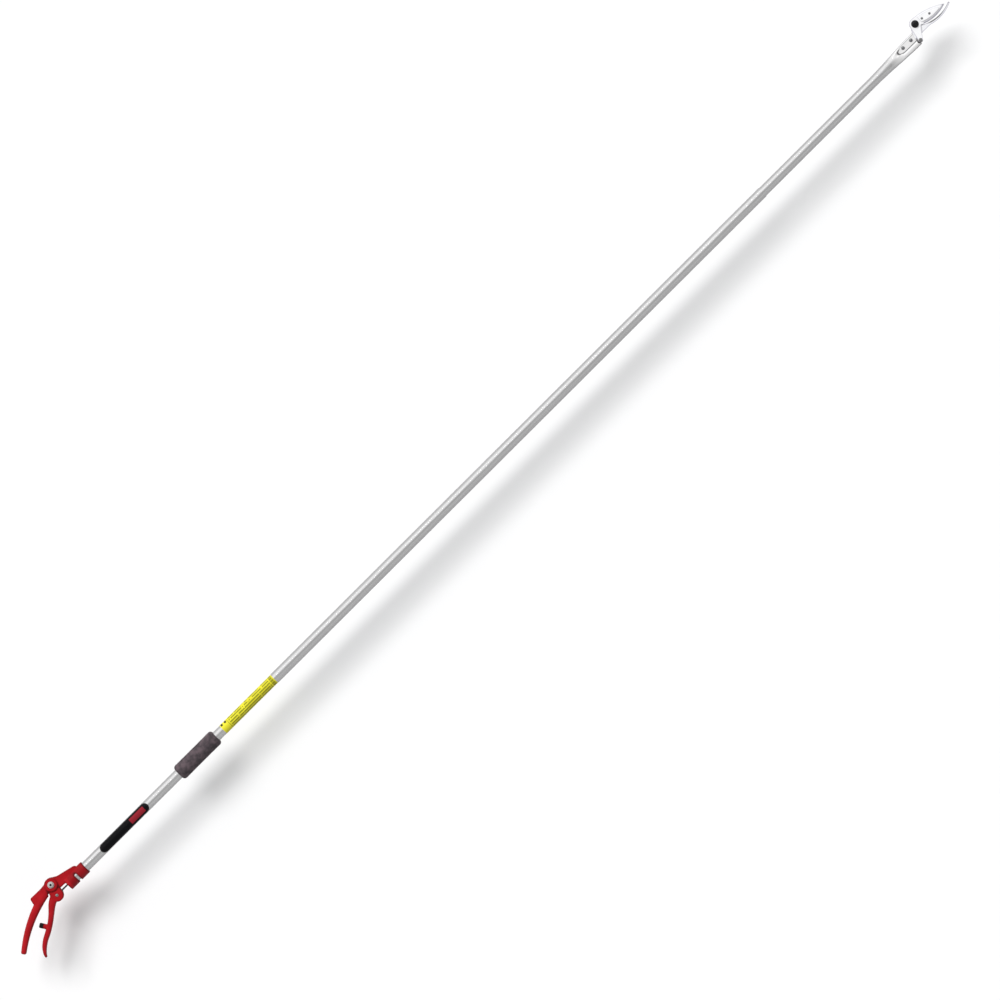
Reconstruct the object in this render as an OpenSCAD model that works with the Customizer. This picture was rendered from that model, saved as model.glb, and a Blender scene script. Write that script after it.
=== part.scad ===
// Long-reach pruner: a fixed pole with a squeeze handle at one end and a
// bypass cutting head at the other, joined by a pull rod inside the tubes.
// +X runs along the pole to the head, +Z is the bolt-head side, and the
// origin is on the pole's axis at the middle of the main tube.

/* [Pole] */
// Length of the main tube
main_len = 1560; // [900:10:2400]
// Outer diameter of the main tube
main_od = 26; // [25:0.5:29]
// Wall of the main tube
main_wall = 0.95; // [0.8:0.05:1.2]
// Wall of the lower and upper tubes
slim_wall = 1.2; // [1:0.1:1.5]
// Length of lower tube between the handle socket and the main tube
lower_show = 604.5; // [590:0.5:800]
// Length of upper tube beyond the main tube, pressed end included
upper_show = 494; // [300:1:700]
// How far the lower and upper tubes run inside the main tube
joint_overlap = 80; // [40:5:150]

/* [Pressed tube end] */
// Length over which the round tube widens into the flat end
flare_len = 127; // [115:1:150]
// Length over which the tube is pressed flat
press_len = 96; // [88:1:110]
// Length of the full-width flat end
end_len = 18; // [14:1:24]
// Width of the flat end
end_w = 33.6; // [32:0.2:36]
// Width of the rod channel left open along one side of the flat end
channel_w = 15.3; // [14.5:0.1:16]
// Height of the rod channel
channel_h = 11; // [10:0.1:12.5]
// Distance from the tube's end to the start of the sunk panel
panel_len = 67; // [64:1:72]
// Width of the bead along the panel's outer side
bead_w = 5.2; // [4.5:0.1:6]
// Height of the bead
bead_h = 7.6; // [6.5:0.1:9]

/* [Grip and labels] */
// Distance from the socket face to the foam grip
foam_from = 298.5; // [230:0.5:310]
// Length of the foam grip
foam_len = 120; // [90:1:125]
// Outer diameter of the foam grip
foam_od = 39.6; // [34:0.2:44]
// Rounding of the foam grip's ends
foam_round = 7; // [3:0.5:9]
// Distance from the socket face to the name label
label_from = 51; // [20:1:70]
// Length of the name label
label_len = 149; // [100:1:155]
// Width of the name label across the tube
label_w = 22; // [18:0.5:23]
// Length of the yellow band
band_len = 163; // [100:1:170]
// Distance from the yellow band to the main tube
band_gap = 1; // [0.5:0.5:10]
// Thickness of the label and band films
film_t = 0.35; // [0.2:0.05:0.6]

/* [Linkage] */
// Distance from the lever pivot to the rod pin
arm = 27.2; // [25:0.2:30]
// Lean of the lever's arm away from square to the pole, at rest
arm_lean = 14.7; // [12:0.1:18]
// Angle that the lever turns when it is squeezed
squeeze = 7; // [5:0.5:8]
// Angle that the blade turns for each degree of the lever
head_ratio = 0.76; // [0.74:0.01:0.79]
// Lean of the blade's tang away from square to the pole, at rest
head_lean = 24.8; // [23.5:0.1:26]
// Diameter of the pull rod
rod_d = 4; // [3:0.2:4.4]
// Diameter of the pivot bolts
bolt_d = 8; // [7:0.5:9]
// Diameter of the rod pin and the tang pin
pin_d = 5; // [4:0.2:5.4]

/* [Handle] */
// Length of the socket that holds the lower tube
socket_len = 56.5; // [52:0.5:60]
// Wall of the socket
socket_wall = 3.5; // [3:0.1:5]
// Thickness of the wall behind the tube
back_wall = 7; // [5:0.5:9]
// Distance from the socket face to the cross slot
slot_from = 25; // [22:0.5:27]
// Width of the cross slot
slot_w = 6; // [5:0.5:8]
// Distance from the socket face back to the lever pivot
pivot_back = 83.7; // [82:0.1:88]
// Radius of the frame's fork around the pivot
fork_r = 15.4; // [15:0.1:17]
// Thickness of each fork cheek
cheek_t = 4.5; // [3.5:0.1:6]
// Thickness of the rib between the fork and the socket
rib_t = 19; // [16:0.5:24]
// Length of the rear grip along its curve
grip_len = 167; // [155:1:176]
// Radius of the rear grip's curve
grip_bend = 315; // [290:5:360]
// Width of the rear grip at its root
grip_root_w = 22; // [20:0.2:24]
// Width of the rear grip at its end
grip_end_w = 12.5; // [10:0.2:15]
// Thickness of the rear grip
grip_t = 20; // [17:0.5:24]
// Reach of the thumb wing behind the pivot
wing_reach = 57; // [48:1:62]
// Thickness of the thumb wing
wing_t = 19; // [14:0.5:20]

/* [Lever] */
// Radius of the lever around the pivot
hub_r = 12.5; // [11.5:0.1:13]
// Radius of the lever's nose around the rod pin
nose_r = 15.2; // [14:0.1:16]
// Thickness of each lever ear
ear_t = 5; // [4:0.1:6]
// Thickness of the finger bar
bar_t = 18; // [15:0.5:22]
// Length along the rear grip at which the bumper meets it
stop_at = 97; // [88:1:104]
// Length of the rubber bumper
bumper_len = 9; // [7:0.5:10]
// Diameter of the rubber bumper and its boss
bumper_d = 12; // [10:0.5:13]

/* [Return spring] */
// Free room for the spring behind the collar
spring_len = 45; // [36:1:60]
// Mean diameter of the spring
spring_d = 12.4; // [11:0.2:13.5]
// Wire diameter of the spring
wire_d = 1.6; // [1.2:0.1:1.8]
// Number of turns of the spring
spring_turns = 9; // [7:1:11]
// Length of the spring seat
seat_len = 12; // [8:1:16]
// Length of the spring collar
collar_len = 8; // [6:1:12]

/* [Rod guides] */
// Number of guide discs on the pull rod
guide_count = 6; // [4:1:9]
// Diameter of the guide discs
guide_d = 17.4; // [15:0.2:17.6]
// Thickness of the guide discs
guide_t = 14; // [8:1:20]

/* [Head] */
// Distance from the tube end to the blade pivot
head_ahead = 19; // [18.4:0.1:21]
// Offset of the blade pivot from the pole's axis
head_off = 26; // [25.6:0.1:27]
// Radius of the bracket and the blade around the pivot
boss_r = 13; // [12:0.1:14]
// Thickness of the bracket and hook plate
plate_t = 3; // [2.5:0.1:3.6]
// Thickness of the cutting blade
blade_t = 2.8; // [2.2:0.1:3.4]
// Thickness of the holding plate
hold_t = 1.6; // [1.2:0.1:2.2]
// Length of the bracket's tongue inside the tube
tongue_len = 57; // [50:1:60]
// Distance from the pivot to the hook's tip
hook_reach = 91; // [84:0.5:100]
// Radius of the hook's inner edge
hook_in_r = 88; // [84:0.5:94]
// Radius of the hook's outer edge
hook_out_r = 91; // [89:0.5:94]
// Distance from the pivot to the blade's tip
blade_reach = 84; // [78:0.5:88]
// How far the closed blade passes over the hook's edge
bypass = 0.7; // [0.5:0.1:1.2]
// Width of the ground bevel along the cutting edge
bevel_w = 5; // [3:0.5:6]
// Number of teeth on the holding plate
tooth_count = 11; // [7:1:14]
// Distance between the two bracket rivets
rivet_pitch = 25; // [22:0.5:26]
// Distance from the tube end to the nearer rivet
rivet_edge = 13.4; // [11:0.2:14]
// Shank diameter of the bracket rivets
rivet_d = 5; // [4:0.1:6]

/* [Fits] */
// Radial gap between the lower and upper tubes and what they fit in
tube_fit = 0.05; // [0.03:0.01:0.1]
// Radial gap between a pin and the bore that turns on it
pin_fit = 0.06; // [0.04:0.01:0.09]
// Side gap between parts that turn past each other
side_gap = 0.25; // [0.15:0.05:0.4]
// Gap between the blade and the hook plate
shear_gap = 0.1; // [0.05:0.01:0.15]

/* [Hidden] */
$fn = 48;

// Tube radii and the two ends of the pole
main_r = main_od / 2;
slim_r = main_r - main_wall - tube_fit;
slim_in_r = slim_r - slim_wall;
main_end = main_len / 2;
socket_x = -main_end - lower_show;
tube_end = main_end + upper_show;
neck_len = flare_len + end_len;

// Pivots of the linkage: the rod lies on the pole's axis at the handle and in
// the channel at the head, and both its ends move by the same length
lever_pivot = [socket_x - pivot_back, arm * cos(arm_lean)];
rod_pin_at = [lever_pivot.x - arm * sin(arm_lean), 0];
head_turn = squeeze * head_ratio;
rod_pull = arm * (sin(arm_lean + squeeze) - sin(arm_lean));
head_arm = rod_pull / (sin(head_lean + head_turn) - sin(head_lean));
head_pivot = [tube_end + head_ahead, head_off];
tang_at = head_pivot - head_arm * [sin(head_lean), cos(head_lean)];

// Half thicknesses, from the rod eye outwards
eye_t = 5;
eye_r = 6.5;
ear_in = eye_t / 2 + side_gap;
ear_out = ear_in + ear_t;
cheek_in = ear_out + side_gap;
cheek_out = cheek_in + cheek_t;
bolt_r = bolt_d / 2;
pin_r = pin_d / 2;
bush_wall = 1.8;
bush_r = bolt_r + bush_wall;

// Heights in the head, from the middle of the hook plate
plate_top = plate_t / 2;
blade_low = plate_top + shear_gap;
blade_top = blade_low + blade_t;
hold_top = blade_top + hold_t;

socket_r = slim_r + tube_fit + socket_wall;
tube_back = socket_x - socket_len + back_wall;
rod_room = 0.8;
rod_hole_r = rod_d / 2 + arm * (cos(arm_lean) - cos(arm_lean + squeeze)) + rod_room;
washer_t = 1.2;
seat_front = tube_back + seat_len;
collar_at = seat_front + spring_len;

red = [0.69, 0.11, 0.13];
silver = [0.82, 0.83, 0.85];
steel = [0.62, 0.64, 0.67];
dark = [0.07, 0.07, 0.08];

// ---- Shared shapes ----

function lerp(a, b, t) = a + (b - a) * t;
function ease(t) = t <= 0 ? 0 : t >= 1 ? 1 : t * t * (3 - 2 * t);
function turn(p, a) = [p.x * cos(a) - p.y * sin(a), p.x * sin(a) + p.y * cos(a)];
function signed_pow(v, e) = sign(v) * pow(abs(v), e);

// Closed skin over rings of equally many points, each counter-clockwise
// about the way they follow each other, with flat caps or, for a hollow
// wall, with the last ring joined to the first
module skin(rings, ring_loop = false) {
    n = len(rings);
    m = len(rings[0]);
    last = ring_loop ? n - 1 : n - 2;
    sides = [for (i = [0:last], j = [0:m - 1], half = [0, 1])
        let (a = i * m + j, b = i * m + (j + 1) % m)
        let (c = ((i + 1) % n) * m + j, d = ((i + 1) % n) * m + (j + 1) % m)
        half == 0 ? [a, d, b] : [a, c, d]];
    caps = ring_loop ? [] : [for (j = [1:m - 2], end = [0, n - 1])
        end == 0 ? [0, j, j + 1] : [end * m, end * m + j + 1, end * m + j]];
    polyhedron(points = [for (r = rings) each r], faces = concat(sides, caps), convexity = 6);
}

// Smooth curve through stations [x, y, width, thickness]
function blend4(a, b, c, d, t) =
    0.5 * (2 * b + (c - a) * t + (2 * a - 5 * b + 4 * c - d) * t * t
           + (3 * b - a - 3 * c + d) * t * t * t);
function smooth_path(p, n) = let (e = len(p) - 1) concat(
    [for (i = [0:e - 1], k = [0:n - 1])
        blend4(p[max(i - 1, 0)], p[i], p[i + 1], p[min(i + 2, e)], k / n)],
    [p[e]]);

// Cast bar with a rounded section along stations. Its far end closes over a
// length, fully domed where the power is 2 and blunter where it is higher
bar_sides = 18;
bar_square = 0.72;
bar_close = [0.42, 0.77, 0.95];
function bar_ring(p, along) = let (t = along / norm(along)) [for (j = [0:bar_sides - 1])
    let (a = 360 * (j + 0.5) / bar_sides)
    let (c = signed_pow(cos(a), bar_square) * p[2] / 2, s = signed_pow(sin(a), bar_square) * p[3] / 2)
    [p.x - t.y * c, p.y + t.x * c, s]];
module bar(path, close_len, close_pow) {
    e = len(path) - 1;
    tail = [path[e].x - path[e - 1].x, path[e].y - path[e - 1].y];
    way = tail / norm(tail);
    ends = [for (c = bar_close) let (part = pow(1 - pow(c, close_pow), 1 / close_pow))
        [path[e].x + way.x * close_len * c, path[e].y + way.y * close_len * c,
         path[e][2] * part, path[e][3] * part]];
    body = [for (i = [0:e]) let (p = path[max(i - 1, 0)], q = path[min(i + 1, e)])
        bar_ring(path[i], [q.x - p.x, q.y - p.y])];
    skin(concat(body, [for (s = ends) bar_ring(s, way)]));
}

// Outline of a link: a disc at the origin, a disc at p and their tangents
link_steps = 20;
module link_2d(p, r1, r2) {
    way = atan2(p.y, p.x);
    spread = acos((r1 - r2) / norm(p));
    polygon(concat(
        [for (i = [0:link_steps]) let (a = way + lerp(spread, 360 - spread, i / link_steps))
            r1 * [cos(a), sin(a)]],
        [for (i = [0:link_steps]) let (a = way + lerp(-spread, spread, i / link_steps))
            p + r2 * [cos(a), sin(a)]]));
}

module at_lever() translate([lever_pivot.x, lever_pivot.y, 0]) children();
module at_head() translate([head_pivot.x, head_pivot.y, 0]) children();
module plate(low, high) translate([0, 0, low]) linear_extrude(high - low) children();
module rod_along(x0, x1, r) translate([x0, 0, 0]) rotate([0, 90, 0]) cylinder(h = x1 - x0, r = r);

module hex_prism(across, h) cylinder(h = h, r = across / sqrt(3), $fn = 6);

// Nut with chamfered corners and a domed locking ring
module lock_nut(bore_r, across, h) difference() {
    intersection() {
        union() {
            hex_prism(across, h * 0.72);
            cylinder(h = h, r = across * 0.42);
        }
        translate([0, 0, -0.01]) rotate_extrude() polygon([[0, 0], [across * 0.5, 0],
            [across * 0.58, across * 0.05], [across * 0.58, h * 0.66], [across * 0.5, h * 0.72],
            [across * 0.42, h], [0, h]]);
    }
    translate([0, 0, -1]) cylinder(h = h + 2, r = bore_r);
}

// Low domed rivet or pin head
module dome_head(r, h) rotate_extrude() intersection() {
    translate([0, h - (r * r + h * h) / (2 * h)]) circle((r * r + h * h) / (2 * h), $fn = 96);
    square([r, h]);
}

// Spring clip that sits in a pin's groove, open at one side
module clip_ring(inner, outer, t) linear_extrude(t) difference() {
    circle(outer);
    circle(inner);
    translate([0, outer]) square([inner * 1.1, outer * 2], center = true);
}

// ---- Handle frame ----

grip_start = 8;
// Point, width and direction on the rear grip at a length from its root
function grip_xy(s) = grip_bend * [sin(grip_start) - sin(grip_start + s / grip_bend * 180 / PI),
    cos(grip_start + s / grip_bend * 180 / PI) - cos(grip_start)];
function grip_w(s) = lerp(grip_root_w, grip_end_w, pow(s / grip_len, 1.1));
function grip_way(s) = grip_start + s / grip_bend * 180 / PI;
grip_root = 12;
grip_steps = 14;
grip_close = 5;
grip_path = [for (i = [0:grip_steps]) let (s = lerp(grip_root, grip_len, i / grip_steps))
    let (p = grip_xy(s)) [p.x, p.y, grip_w(s), grip_t]];

// Rib between the fork and the socket, in plan from the lever pivot
rib_front = pivot_back - 14;
socket_back = pivot_back - socket_len;
axis_y = -lever_pivot.y;
rib_outline = [[-2, 0], turn([fork_r, 0], 84), [7.5, fork_r - 1.6], [13, fork_r - 5.2],
    [22.4, 4.8], [rib_front - 8, -4.6], [rib_front - 3.4, -6.3], [rib_front, axis_y + socket_r - 0.4],
    [rib_front, axis_y], [socket_back + 2, axis_y], [socket_back + 2, axis_y + 5],
    [socket_back - 9, axis_y + 6.5], [14.2, axis_y + 5.9], [9.6, axis_y + 6.8]];
wing_outline = [[-8, fork_r - 3.4], [-22, fork_r - 5.4], [3 - wing_reach, 10.6],
    [-wing_reach, 8.2], [-wing_reach - 2.4, -3.4], [-wing_reach - 1, -11], [-24, -6]];

// Plan of the lever's head, which also cuts its room out of the fork
module lever_head_2d(grow = 0)
    link_2d(rod_pin_at - lever_pivot, hub_r + grow, nose_r + grow);

// The cross slot reaches past the axis to a round end
slot_in = 6.5;
slot_steps = 10;
module handle_frame() {
    color(red) difference() {
        union() {
            rod_along(socket_x - socket_len, socket_x, socket_r);
            at_lever() {
                plate(-cheek_out, cheek_out) circle(fork_r);
                plate(-rib_t / 2, rib_t / 2) polygon(rib_outline);
                plate(-wing_t / 2, wing_t / 2) polygon(wing_outline);
                bar(grip_path, grip_close, 3.4);
            }
        }
        // Bore for the tube, the rod's hole and the cross slot
        rod_along(tube_back, socket_x + 1, slim_r + tube_fit);
        rod_along(socket_x - socket_len - 12, tube_back + 1, rod_hole_r);
        translate([socket_x - slot_from - slot_w / 2, 0, 0]) plate(-socket_r - 1, socket_r + 1)
            polygon(concat([[-slot_w / 2, -socket_r - 1], [slot_w / 2, -socket_r - 1]],
                [for (i = [0:slot_steps]) let (a = 180 * i / slot_steps)
                    slot_w / 2 * [cos(a), sin(a)] + [0, slot_in - slot_w / 2]]));
        // Bevelled mouth of the socket
        translate([socket_x, 0, 0]) rotate([0, 90, 0]) rotate_extrude()
            polygon([[socket_r - 1, 0.01], [socket_r + 1, 0.01], [socket_r + 1, -2], [socket_r, -1]]);
        // Room for the lever between the cheeks, over its whole swing
        at_lever() {
            plate(-cheek_in, cheek_in) {
                for (a = [0, -squeeze / 2, -squeeze]) rotate(a) lever_head_2d(1.2);
            }
            translate([0, 0, -cheek_out - 1]) cylinder(h = 2 * cheek_out + 2, r = bolt_r + tube_fit);
        }
        // Tapped hole for the screw that holds the tube
        translate([socket_x - socket_len + screw_in, 0, -socket_r - 1]) cylinder(h = socket_r, r = screw_r);
    }
}

// Screw in the socket's underside, a little below its face
screw_r = 2.5;
screw_in = 15;
screw_sunk = 0.2;
screw_key = 2.5;
screw_key_deep = 1.8;
module socket_screw() {
    color(dark) translate([socket_x - socket_len + screw_in, 0, -socket_r + screw_sunk]) difference() {
        cylinder(h = socket_r - screw_sunk - slim_r, r = screw_r);
        translate([0, 0, -0.01]) hex_prism(screw_key, screw_key_deep);
    }
}

// ---- Trigger lever ----

// Where the bumper meets the grip at full squeeze, and where that is at rest
stop_dir = grip_way(stop_at);
stop_touch = grip_xy(stop_at) + (grip_w(stop_at) / 2 + side_gap) * [sin(stop_dir), -cos(stop_dir)];
stop_face = turn(stop_touch, squeeze);
stop_way = stop_dir + squeeze;
stop_in = [sin(stop_way), -cos(stop_way)];

lever_path = smooth_path([
    [-14, -25, 20, bar_t - 4], [-29, -32.5, 17, bar_t - 1], [-46, -47, 13.4, bar_t],
    [-63, -60.5, 12.4, bar_t], [-81, -71.5, 13, bar_t], [-98, -80.5, 12, bar_t],
    [-111, -90.5, 10.6, bar_t - 1], [-119.4, -100.5, 8, bar_t - 3], [-122.6, -107, 6, bar_t - 5]], 4);

module trigger_lever() {
    nose = rod_pin_at - lever_pivot;
    color(red) at_lever() difference() {
        union() {
            plate(-ear_out, ear_out) lever_head_2d();
            bar(lever_path, 3, 2);
            translate([stop_face.x, stop_face.y, 0]) rotate([0, 0, stop_way - 90]) rotate([0, 90, 0])
                translate([0, 0, bumper_len]) cylinder(h = 9, r = bumper_d / 2);
        }
        // Slot between the ears for the rod eye
        plate(-ear_in, ear_in) polygon([nose + [-eye_r - 3, 10], nose + [nose_r + 8, 13],
            nose + [nose_r + 8, -nose_r - 4], nose + [-4, -nose_r - 4], nose + [-eye_r - 3, -9]]);
        translate([0, 0, -ear_out - 1]) cylinder(h = 2 * ear_out + 2, r = bush_r);
        translate([nose.x, nose.y, -bar_t]) cylinder(h = 2 * bar_t, r = pin_r);
    }
}

// Rubber bumper: a stud with a domed face
module lever_bumper() {
    r = bumper_d / 2;
    color(dark) at_lever() translate([stop_face.x, stop_face.y, 0]) rotate([0, 0, stop_way - 90])
        rotate([0, 90, 0]) rotate_extrude()
        polygon([[0, 0], [r - 2.4, 0], [r - 0.9, 0.6], [r - 0.2, 1.8], [r, 3.2],
            [r, bumper_len], [0, bumper_len]]);
}

module pivot_bush() {
    color([0.72, 0.55, 0.28]) at_lever() difference() {
        plate(-ear_out, ear_out) circle(bush_r);
        plate(-ear_out - 1, ear_out + 1) circle(bolt_r + pin_fit);
    }
}

// Pan-head bolt with a hexagon socket, driven from the +Z side, whose thread
// stands a little out of its nut
bolt_head_r = 6.5;
bolt_head_h = 4.2;
bolt_key = 5;
bolt_key_deep = 2.8;
thread_out = 0.8;
nut_h = 7;
nut_across = 13;
module pivot_bolt() {
    top = cheek_out + washer_t;
    color(silver) at_lever() difference() {
        union() {
            translate([0, 0, -top - nut_h - thread_out])
                cylinder(h = 2 * top + nut_h + thread_out + 1, r = bolt_r);
            translate([0, 0, top]) rotate_extrude() polygon([[0, 0], [bolt_head_r, 0], [bolt_head_r, 1.4],
                [bolt_head_r - 0.7, 2.9], [bolt_head_r - 2, bolt_head_h], [0, bolt_head_h]]);
        }
        translate([0, 0, top + bolt_head_h - bolt_key_deep]) hex_prism(bolt_key, bolt_key_deep + 1);
    }
}

module pivot_washers() {
    color(silver) at_lever() for (z = [cheek_out, -cheek_out - washer_t])
        translate([0, 0, z]) difference() {
            cylinder(h = washer_t, r = bolt_head_r + 1.2);
            translate([0, 0, -1]) cylinder(h = washer_t + 2, r = bolt_r + tube_fit);
        }
}

module pivot_nut() {
    color(silver) at_lever() mirror([0, 0, 1]) translate([0, 0, cheek_out + washer_t])
        lock_nut(bolt_r, nut_across, nut_h);
}

// Clevis pin through the lever's ears and the rod eye
clip_t = 0.8;
clip_lip = 1.8;
groove_deep = 0.6;
pin_tail = 1.6;
pin_head_h = 1.4;
module grooved_pin(low, high) {
    difference() {
        union() {
            translate([0, 0, low - clip_t - pin_tail])
                cylinder(h = high - low + clip_t + pin_tail, r = pin_r);
            translate([0, 0, high]) dome_head(pin_r + 1, pin_head_h);
        }
        translate([0, 0, low - clip_t]) difference() {
            cylinder(h = clip_t, r = pin_r + 1);
            translate([0, 0, -1]) cylinder(h = clip_t + 2, r = pin_r - groove_deep);
        }
    }
}

module rod_pin() {
    color(steel) translate([rod_pin_at.x, rod_pin_at.y, 0]) grooved_pin(-ear_out, ear_out);
}

module rod_pin_clip() {
    color(steel) translate([rod_pin_at.x, rod_pin_at.y, -ear_out - clip_t])
        rotate([0, 0, 200]) clip_ring(pin_r - groove_deep, pin_r + clip_lip, clip_t);
}

// ---- Pole ----

module lower_tube() {
    color(silver) difference() {
        rod_along(tube_back, -main_end + joint_overlap, slim_r);
        rod_along(tube_back - 1, -main_end + joint_overlap + 1, slim_in_r);
    }
}

module main_tube() {
    color(silver) difference() {
        rod_along(-main_end, main_end, main_r);
        rod_along(-main_end - 1, main_end + 1, main_r - main_wall);
    }
}

// Section of the pressed end at a distance behind the tube's end. s runs
// from 1 to -1 across it, and gives the height of the wall's outer or inner
// face above the middle: a round tube, then a low arch, then a sunk panel
// with the rod channel on one side of it and a bead on the other
web_half = plate_top + 0.1;
arch_h = 14;
panel_rise = 15;
panel_round = 9;
channel_mid = -(end_w - channel_w) / 2;
bead_y = (end_w - bead_w) / 2;
panel_y = [channel_mid + channel_w / 2, bead_y - bead_w / 2];
panel_mid = (panel_y[0] + panel_y[1]) / 2;
function hump(y, mid, half, h) = h * sqrt(max(0, 1 - pow((y - mid) / half, 2)));
function press_y(s, x, wall) = let (t = ease((x - tube_end + neck_len) / flare_len / 1.25))
    s * (lerp(slim_r, end_w / 2, min(1, 1.12 * t)) - wall);
function press_z(s, x, wall) =
    let (y = s * (end_w / 2 - wall), t = ease((x - tube_end + neck_len) / press_len))
    let (arch = lerp(slim_r - wall, arch_h / 2 - wall, t) * sqrt(max(0, 1 - s * s)))
    let (side_fall = abs(s) > 0.999 ? 0 : wall > 0 ? 1 : sqrt(1 - pow(abs(s), 14)))
    let (web = (web_half + slim_wall - wall) * side_fall)
    let (flat = max(web, hump(y, channel_mid, channel_w / 2 - wall, channel_h / 2 - wall),
        hump(y, bead_y, bead_w / 2 - wall, bead_h / 2 - wall)))
    let (side = min(1, abs(y - panel_mid) / (panel_y[1] - panel_mid)))
    lerp(arch, flat, ease((x - tube_end + panel_len - panel_round * pow(side, 3)) / panel_rise));
press_s = [1, 0.982, 0.94, 0.88, 0.81, 0.75, 0.7, 0.65, 0.6, 0.54, 0.46, 0.37, 0.27, 0.17, 0.09, 0.03,
    -0.02, -0.06, -0.11, -0.18, -0.3, -0.45, -0.6, -0.745, -0.87, -0.955, -0.99, -1];
press_half = len(press_s) - 1;
function press_ring(x, wall) = [for (i = [0:2 * press_half - 1])
    let (s = press_s[i <= press_half ? i : 2 * press_half - i])
    [x, press_y(s, x, wall), (i < press_half ? 1 : -1) * press_z(s, x, wall)]];
press_at = [0, 0.09, 0.18, 0.27, 0.36, 0.44, 0.5, 0.535, 0.555, 0.575, 0.595, 0.615, 0.635, 0.655, 0.675,
    0.695, 0.715, 0.77, 0.88, 1];
press_steps = len(press_at) - 1;
press_x = [for (t = press_at) tube_end - neck_len * (1 - t)];
// The pressed end's skin starts inside the wall of the round tube
press_lap = 3;
lap_in = 0.08;
press_lap_x = [tube_end - neck_len - press_lap, tube_end - neck_len];

module upper_tube() {
    color(silver) difference() {
        union() {
            difference() {
                rod_along(main_end - joint_overlap, tube_end - neck_len, slim_r);
                rod_along(main_end - joint_overlap - 1, tube_end - neck_len + 1, slim_in_r);
            }
            skin(concat([for (x = press_lap_x) press_ring(x, lap_in)],
                [for (i = [1:press_steps]) press_ring(press_x[i], 0)],
                [for (i = [press_steps:-1:1]) press_ring(press_x[i], slim_wall)],
                [for (i = [1, 0]) press_ring(press_lap_x[i], slim_wall - lap_in)]), ring_loop = true);
        }
        for (x = rivet_x) translate([x, rivet_y, -slim_r]) cylinder(h = 2 * slim_r, r = rivet_d / 2);
        // The bolt-side wall is cut back where the blade's tang swings
        at_head() rotate(-head_turn / 2) plate(web_half - 0.3, slim_r)
            link_2d(tang_at - head_pivot, boss_r + 1, tang_r + rod_pull / 2 + 1);
    }
}

module name_label() {
    color(dark) intersection() {
        difference() {
            rod_along(socket_x + label_from, socket_x + label_from + label_len, slim_r + film_t);
            rod_along(socket_x, socket_x + label_from + label_len + 1, slim_r);
        }
        plate(0, main_od) union() {
            for (x = [label_w / 2, label_len - label_w / 2])
                translate([socket_x + label_from + x, 0]) circle(label_w / 2);
            translate([socket_x + label_from + label_w / 2, -label_w / 2])
                square([label_len - label_w, label_w]);
        }
    }
}

module yellow_band() {
    far = -main_end - band_gap;
    color([0.94, 0.92, 0.24]) difference() {
        rod_along(far - band_len, far, slim_r + film_t);
        rod_along(far - band_len - 1, far + 1, slim_r);
    }
}

module foam_grip() {
    r = foam_od / 2;
    q = foam_round;
    color([0.34, 0.31, 0.32]) translate([socket_x + foam_from, 0, 0]) rotate([0, 90, 0]) rotate_extrude()
        difference() {
            union() {
                translate([slim_r, q]) square([r - slim_r, foam_len - 2 * q]);
                translate([slim_r, 0]) square([r - q - slim_r, foam_len]);
                for (z = [q, foam_len - q]) translate([r - q, z]) circle(q);
            }
            translate([-1, -1]) square([slim_r + 1, foam_len + 2]);
        }
}

// ---- Pull rod and return spring ----

// Fixed bush in the tube's end that the spring pushes against
module spring_seat() {
    color([0.2, 0.2, 0.22]) difference() {
        rod_along(tube_back, seat_front, slim_in_r - tube_fit);
        rod_along(tube_back - 1, seat_front + 1, rod_hole_r);
    }
}

spring_sides = 7;
spring_steps = 14;
module return_spring() {
    r = spring_d / 2;
    run = spring_len - wire_d;
    steps = spring_turns * spring_steps;
    color(steel) skin([for (i = [0:steps])
        let (a = 360 * i / spring_steps, x = seat_front + wire_d / 2 + run * i / steps)
        [for (j = [0:spring_sides - 1]) let (b = 360 * j / spring_sides)
            let (q = r + wire_d / 2 * cos(b))
            [x - wire_d / 2 * sin(b), q * cos(a), q * sin(a)]]]);
}

module spring_collar() {
    color(steel) difference() {
        rod_along(collar_at, collar_at + collar_len, spring_d / 2 + wire_d / 2 + 0.4);
        rod_along(collar_at - 1, collar_at + collar_len + 1, rod_d / 2);
    }
}

// The rod's turned-down end sits in the handle eye, its far end in the coupler
stub_r = rod_d / 2 - 0.6;
stub_len = 9;
eye_len = 16;
rod_back = rod_pin_at.x + eye_len;
bend_r = 30;
drop = -tang_at.y;
bend_a = acos(1 - drop / (2 * bend_r));
link_d = 4.4;
link_bend_end = tube_end - tongue_len - 6;
link_bend_from = link_bend_end - 2 * bend_r * sin(bend_a);
coupler_len = 26;
rod_front = link_bend_from - coupler_len / 2 - 4;

module pull_rod() {
    color(steel) {
        rod_along(rod_back, rod_front, rod_d / 2);
        rod_along(rod_back - stub_len, rod_back, stub_r);
    }
}

module handle_rod_eye() {
    color(steel) translate([rod_pin_at.x, 0, 0]) difference() {
        union() {
            plate(-eye_t / 2, eye_t / 2) circle(eye_r);
            intersection() {
                rod_along(0, eye_len, 4);
                plate(-eye_t / 2, eye_t / 2) square([2 * eye_len, 8], center = true);
            }
        }
        plate(-eye_t, eye_t) circle(pin_r + pin_fit);
        rod_along(eye_len - stub_len, eye_len + 1, stub_r);
    }
}

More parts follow.
